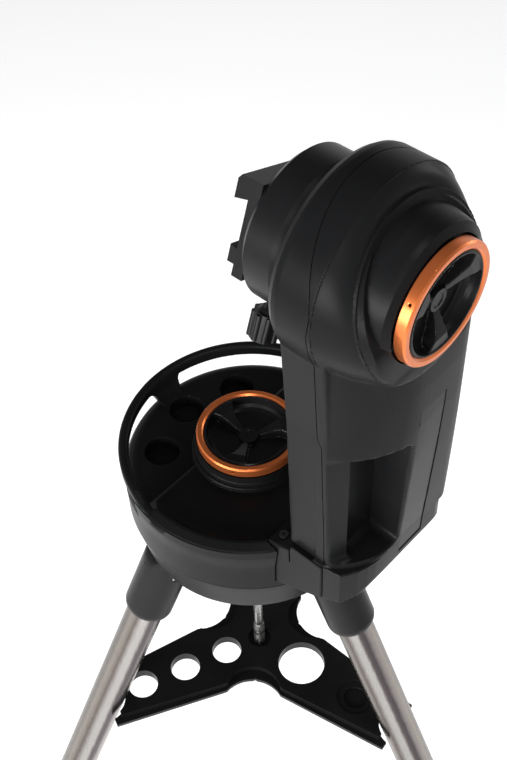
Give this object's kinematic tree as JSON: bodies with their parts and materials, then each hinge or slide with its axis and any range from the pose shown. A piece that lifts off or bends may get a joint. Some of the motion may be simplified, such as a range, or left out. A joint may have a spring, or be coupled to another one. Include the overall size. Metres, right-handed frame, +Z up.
{
  "type": "telescope mount on tripod",
  "caption": "Single-arm motorised altazimuth telescope mount with orange-ringed clutches, an eyepiece tray, a dovetail saddle and a folding steel tripod.",
  "frame": {"origin": "on the ground, on the azimuth axis, midway between the three feet", "axes": "+Z up along the azimuth axis, +X towards the arm"},
  "size_m": [0.7316, 0.7929, 1.3384],
  "materials": {
    "painted_black": "satin",
    "casing_plastic": "fine texture",
    "black_plastic": "matte",
    "steel": "brushed",
    "leg_steel": "satin",
    "orange_anodised": "anodised orange",
    "brass": "machined",
    "black_oxide": "black oxide",
    "rubber": "matte",
    "gloss_trim": "glossy",
    "board_green": "matte",
    "cell_wrap": "glossy",
    "motor_metal": "satin",
    "button_red": "matte"
  },
  "bodies": {
    "tripod_base": {"tripod_head": "painted_black", "centring_pin": "steel", "hinge_pins": "steel", "centre_rod": "steel", "base_shell": "casing_plastic", "azimuth_spindle": "steel", "azimuth_bearing": "steel"},
    "drum_and_arm": {"drum_housing": "casing_plastic", "accessory_tray": "casing_plastic", "handle_rail": "casing_plastic", "port_panel": "black_plastic", "port_sockets": "black_plastic", "battery_box": "black_plastic", "battery_cells": "cell_wrap", "control_board": "board_green", "azimuth_motor": "motor_metal", "arm_foot": "casing_plastic", "foot_screws": "black_oxide", "arm_inner_shell": "casing_plastic", "arm_outer_shell": "casing_plastic", "trim_strip": "gloss_trim", "altitude_bearing": "steel", "altitude_motor": "motor_metal"},
    "saddle": {"altitude_shaft": "steel", "saddle_hub": "painted_black", "saddle_plate": "painted_black"},
    "clamp_jaw": {"saddle_jaw": "painted_black"},
    "clamp_knob": {"saddle_knob": "black_plastic"},
    "altitude_clutch": {"altitude_clutch_ring": "orange_anodised", "altitude_clutch_knob": "black_plastic"},
    "azimuth_clutch": {"azimuth_clutch_ring": "orange_anodised", "azimuth_clutch_knob": "black_plastic"},
    "azimuth_gear": {"azimuth_wheel": "brass"},
    "azimuth_screw": {"azimuth_worm": "steel"},
    "altitude_gear": {"altitude_wheel": "brass"},
    "altitude_screw": {"altitude_worm": "steel"},
    "spreader": {"spreader_tray": "painted_black"},
    "spreader_knob": {"tray_knob": "black_plastic"},
    "power_switch": {"power_button": "button_red"},
    "bolt_1": {"captive_bolt_1": "steel"},
    "upper_leg_1": {"leg_collar_1": "painted_black", "leg_tube_1": "leg_steel", "leg_clamp_1": "painted_black"},
    "lower_leg_1": {"leg_inner_1": "leg_steel", "leg_foot_1": "rubber"},
    "lock_1": {"leg_lock_1": "black_plastic"},
    "bolt_2": {"captive_bolt_2": "steel"},
    "upper_leg_2": {"leg_collar_2": "painted_black", "leg_tube_2": "leg_steel", "leg_clamp_2": "painted_black"},
    "lower_leg_2": {"leg_inner_2": "leg_steel", "leg_foot_2": "rubber"},
    "lock_2": {"leg_lock_2": "black_plastic"},
    "bolt_3": {"captive_bolt_3": "steel"},
    "upper_leg_3": {"leg_collar_3": "painted_black", "leg_tube_3": "leg_steel", "leg_clamp_3": "painted_black"},
    "lower_leg_3": {"leg_inner_3": "leg_steel", "leg_foot_3": "rubber"},
    "lock_3": {"leg_lock_3": "black_plastic"}
  },
  "joints": [
    {"name": "azimuth_turn", "type": "hinge", "parent": "tripod_base", "child": "drum_and_arm", "pos_m": [0, 0, 0.9], "axis": [0, 0, 1], "continuous": true},
    {"name": "altitude_turn", "type": "hinge", "parent": "drum_and_arm", "child": "saddle", "pos_m": [0.08, 0, 1.2554], "axis": [1, 0, 0], "continuous": true},
    {"name": "azimuth_clutch_turn", "type": "hinge", "parent": "tripod_base", "child": "azimuth_clutch", "pos_m": [0, 0, 0.96], "axis": [0, 0, 1], "range_deg": [0, 270]},
    {"name": "altitude_clutch_turn", "type": "hinge", "parent": "saddle", "child": "altitude_clutch", "pos_m": [0.19, 0, 1.2554], "axis": [1, 0, 0], "range_deg": [0, 270]},
    {"name": "azimuth_wheel_turn", "type": "hinge", "parent": "drum_and_arm", "child": "azimuth_gear", "pos_m": [0, 0, 0.918], "axis": [0, 0, 1], "continuous": true},
    {"name": "azimuth_worm_spin", "type": "hinge", "parent": "drum_and_arm", "child": "azimuth_screw", "pos_m": [0, -0.0602, 0.918], "axis": [1, 0, 0], "continuous": true},
    {"name": "altitude_wheel_turn", "type": "hinge", "parent": "drum_and_arm", "child": "altitude_gear", "pos_m": [0.128, 0, 1.2554], "axis": [1, 0, 0], "continuous": true},
    {"name": "altitude_worm_spin", "type": "hinge", "parent": "drum_and_arm", "child": "altitude_screw", "pos_m": [0.128, 0, 1.1952], "axis": [0, 1, 0], "continuous": true},
    {"name": "clamp_knob_turn", "type": "hinge", "parent": "saddle", "child": "clamp_knob", "pos_m": [0.0526, -0.0259, 1.169], "axis": [0, 0.3502, 0.9367], "range_deg": [0, 1200]},
    {"name": "clamp_jaw_slide", "type": "slide", "parent": "saddle", "child": "clamp_jaw", "axis": [0, -0.3502, -0.9367], "range_m": [0, 0.00499]},
    {"name": "bolt_1_turn", "type": "hinge", "parent": "tripod_base", "child": "bolt_1", "pos_m": [0.0183, 0.04111, 0.82], "axis": [0, 0, 1], "continuous": true},
    {"name": "bolt_2_turn", "type": "hinge", "parent": "tripod_base", "child": "bolt_2", "pos_m": [-0.04475, -0.0047, 0.82], "axis": [0, 0, 1], "continuous": true},
    {"name": "bolt_3_turn", "type": "hinge", "parent": "tripod_base", "child": "bolt_3", "pos_m": [0.02645, -0.03641, 0.82], "axis": [0, 0, 1], "continuous": true},
    {"name": "spreader_slide", "type": "slide", "parent": "tripod_base", "child": "spreader", "axis": [0, 0, -1], "range_m": [0, 0.42]},
    {"name": "spreader_knob_turn", "type": "hinge", "parent": "spreader", "child": "spreader_knob", "pos_m": [0, 0, 0.565], "axis": [0, 0, 1], "continuous": true},
    {"name": "leg_1_fold", "type": "hinge", "parent": "tripod_base", "child": "upper_leg_1", "pos_m": [0.09389, 0.00987, 0.80805], "axis": [-0.1045, 0.9945, 0], "range_deg": [0, 14.1]},
    {"name": "leg_1_extend", "type": "slide", "parent": "upper_leg_1", "child": "lower_leg_1", "axis": [0.3859, 0.0406, -0.9217], "range_m": [0, 0.35]},
    {"name": "leg_1_lock_turn", "type": "hinge", "parent": "upper_leg_1", "child": "lock_1", "pos_m": [0.31877, 0.0335, 0.34826], "axis": [0.9166, 0.0963, 0.388], "range_deg": [0, 360]},
    {"name": "leg_2_fold", "type": "hinge", "parent": "tripod_base", "child": "upper_leg_2", "pos_m": [-0.05549, 0.07638, 0.80805], "axis": [-0.809, -0.5878, 0], "range_deg": [0, 14.1]},
    {"name": "leg_2_extend", "type": "slide", "parent": "upper_leg_2", "child": "lower_leg_2", "axis": [-0.2281, 0.3139, -0.9217], "range_m": [0, 0.35]},
    {"name": "leg_2_lock_turn", "type": "hinge", "parent": "upper_leg_2", "child": "lock_2", "pos_m": [-0.1884, 0.25931, 0.34826], "axis": [-0.5417, 0.7456, 0.388], "range_deg": [0, 360]},
    {"name": "leg_3_fold", "type": "hinge", "parent": "tripod_base", "child": "upper_leg_3", "pos_m": [-0.0384, -0.08625, 0.80805], "axis": [0.9135, -0.4067, 0], "range_deg": [0, 14.1]},
    {"name": "leg_3_extend", "type": "slide", "parent": "upper_leg_3", "child": "lower_leg_3", "axis": [-0.1578, -0.3545, -0.9217], "range_m": [0, 0.35]},
    {"name": "leg_3_lock_turn", "type": "hinge", "parent": "upper_leg_3", "child": "lock_3", "pos_m": [-0.13037, -0.29281, 0.34826], "axis": [-0.3749, -0.842, 0.388], "range_deg": [0, 360]},
    {"name": "power_button_press", "type": "slide", "parent": "drum_and_arm", "child": "power_switch", "axis": [-0.3746, -0.9272, 0], "range_m": [0, 0.0015], "stiffness_N_per_m": 500}
  ],
  "couplings": [
    {"joint": "azimuth_worm_spin", "follows": "azimuth_wheel_turn", "ratio": 60},
    {"joint": "altitude_worm_spin", "follows": "altitude_wheel_turn", "ratio": 60},
    {"joint": "clamp_knob_turn", "follows": "clamp_jaw_slide", "rad_per_m": 4189.4},
    {"joint": "leg_1_fold", "follows": "spreader_slide", "rad_per_m": 0.5817},
    {"joint": "leg_2_fold", "follows": "spreader_slide", "rad_per_m": 0.5817},
    {"joint": "leg_3_fold", "follows": "spreader_slide", "rad_per_m": 0.5817}
  ]
}
